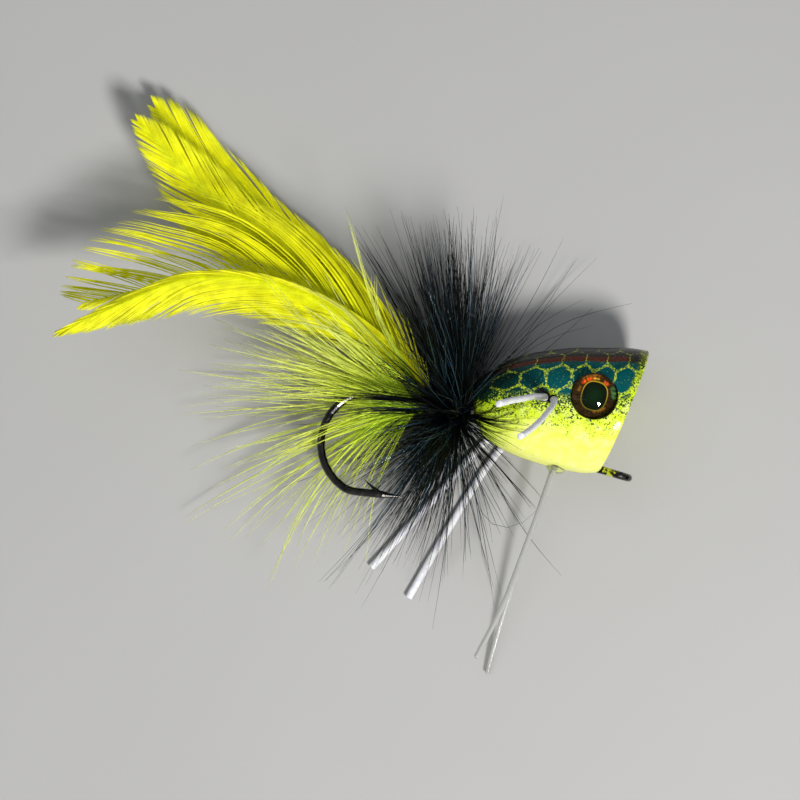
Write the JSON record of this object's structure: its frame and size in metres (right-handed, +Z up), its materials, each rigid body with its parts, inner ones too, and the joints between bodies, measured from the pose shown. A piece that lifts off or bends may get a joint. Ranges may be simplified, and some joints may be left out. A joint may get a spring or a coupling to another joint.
{
  "type": "topwater popper",
  "caption": "Hand-tied popper fly on its side: cupped painted head on a long-shank hook, domed eyes, rubber legs, prong weed guard, black hackle and feather tail.",
  "frame": {"origin": "on the surface that the lure lies on, under the middle of its outline", "axes": "+X along the hook shank towards the head, +Y towards the lure's back, +Z up, away from the surface; the lure lies on its left side"},
  "size_m": [0.0774, 0.0617, 0.0366],
  "materials": {
    "head_paint": "fluorescent yellow paint with a dark green scaled back, under clear gloss",
    "hook_wire": "black nickel plated wire",
    "clear_glue": "clear cured epoxy",
    "eye_foil": "amber holographic foil with a dark printed pupil",
    "eye_dome": "clear cast resin dome",
    "leg_rubber": "matt white round rubber",
    "guard_mono": "clear stiff monofilament",
    "tying_thread": "waxed black tying thread",
    "hackle_black": "dyed black cock hackle with a blue sheen",
    "feather_yellow": "dyed fluorescent yellow saddle feather",
    "marabou_lime": "dyed chartreuse marabou"
  },
  "bodies": {
    "lure": {"popper_body": "head_paint", "hook": "hook_wire", "slot_glue": "clear_glue", "eye_foil_near": "eye_foil", "eye_foil_far": "eye_foil", "eye_dome_near": "eye_dome", "eye_dome_far": "eye_dome", "leg_strand_rear": "leg_rubber", "leg_strand_front": "leg_rubber", "weed_guard_root_near": "guard_mono", "weed_guard_root_far": "guard_mono", "weed_guard_glue": "clear_glue", "thread_base": "tying_thread", "head_wrap": "tying_thread", "tail_wrap": "tying_thread", "hackle_front": "hackle_black", "hackle_rear": "hackle_black"},
    "leg_near_rear": {"leg_near_rear": "leg_rubber"},
    "leg_near_front": {"leg_near_front": "leg_rubber"},
    "leg_far_rear": {"leg_far_rear": "leg_rubber"},
    "leg_far_front": {"leg_far_front": "leg_rubber"},
    "guard_near": {"weed_guard_prong_near": "guard_mono"},
    "guard_far": {"weed_guard_prong_far": "guard_mono"},
    "tail_near": {"feather_near_outer": "feather_yellow", "feather_near_inner": "feather_yellow"},
    "tail_far": {"feather_far_inner": "feather_yellow", "feather_far_outer": "feather_yellow"},
    "plumes": {"marabou_near": "marabou_lime", "marabou_far": "marabou_lime"}
  },
  "joints": [
    {"name": "leg_near_rear_flex", "type": "hinge", "parent": "lure", "child": "leg_near_rear", "pos_m": [0.02415, 0.007, 0.0162], "axis": [0, 1, 0], "range_deg": [-30, 12], "stiffness_Nm_per_rad": 0.0003},
    {"name": "leg_near_front_flex", "type": "hinge", "parent": "lure", "child": "leg_near_front", "pos_m": [0.02545, 0.007, 0.0162], "axis": [0, 1, 0], "range_deg": [-15, 25], "stiffness_Nm_per_rad": 0.0003},
    {"name": "leg_far_rear_flex", "type": "hinge", "parent": "lure", "child": "leg_far_rear", "pos_m": [0.02415, 0.007, 0.00055], "axis": [0, 0, 1], "range_deg": [-9, 5], "stiffness_Nm_per_rad": 0.0003},
    {"name": "leg_far_front_flex", "type": "hinge", "parent": "lure", "child": "leg_far_front", "pos_m": [0.02545, 0.007, 0.00055], "axis": [0, 0, 1], "range_deg": [-4, 14], "stiffness_Nm_per_rad": 0.0003},
    {"name": "guard_near_flex", "type": "hinge", "parent": "lure", "child": "guard_near", "pos_m": [0.0283, -0.0026, 0.0106], "axis": [0, 0, 1], "range_deg": [-40, 8], "stiffness_Nm_per_rad": 0.0004},
    {"name": "guard_far_flex", "type": "hinge", "parent": "lure", "child": "guard_far", "pos_m": [0.0283, -0.0026, 0.0068], "axis": [0, 0, 1], "range_deg": [-24, 8], "stiffness_Nm_per_rad": 0.0004},
    {"name": "tail_near_sway", "type": "hinge", "parent": "lure", "child": "tail_near", "pos_m": [0.0096, 0.0035, 0.0087], "axis": [0, 0, 1], "range_deg": [-12, 8], "stiffness_Nm_per_rad": 0.001},
    {"name": "tail_far_sway", "type": "hinge", "parent": "lure", "child": "tail_far", "pos_m": [0.0096, 0.0035, 0.0087], "axis": [0, 0, 1], "range_deg": [-12, 8], "stiffness_Nm_per_rad": 0.001},
    {"name": "plumes_sway", "type": "hinge", "parent": "lure", "child": "plumes", "pos_m": [0.0096, 0.0017, 0.0087], "axis": [0, 0, 1], "range_deg": [-7, 7], "stiffness_Nm_per_rad": 0.001}
  ]
}
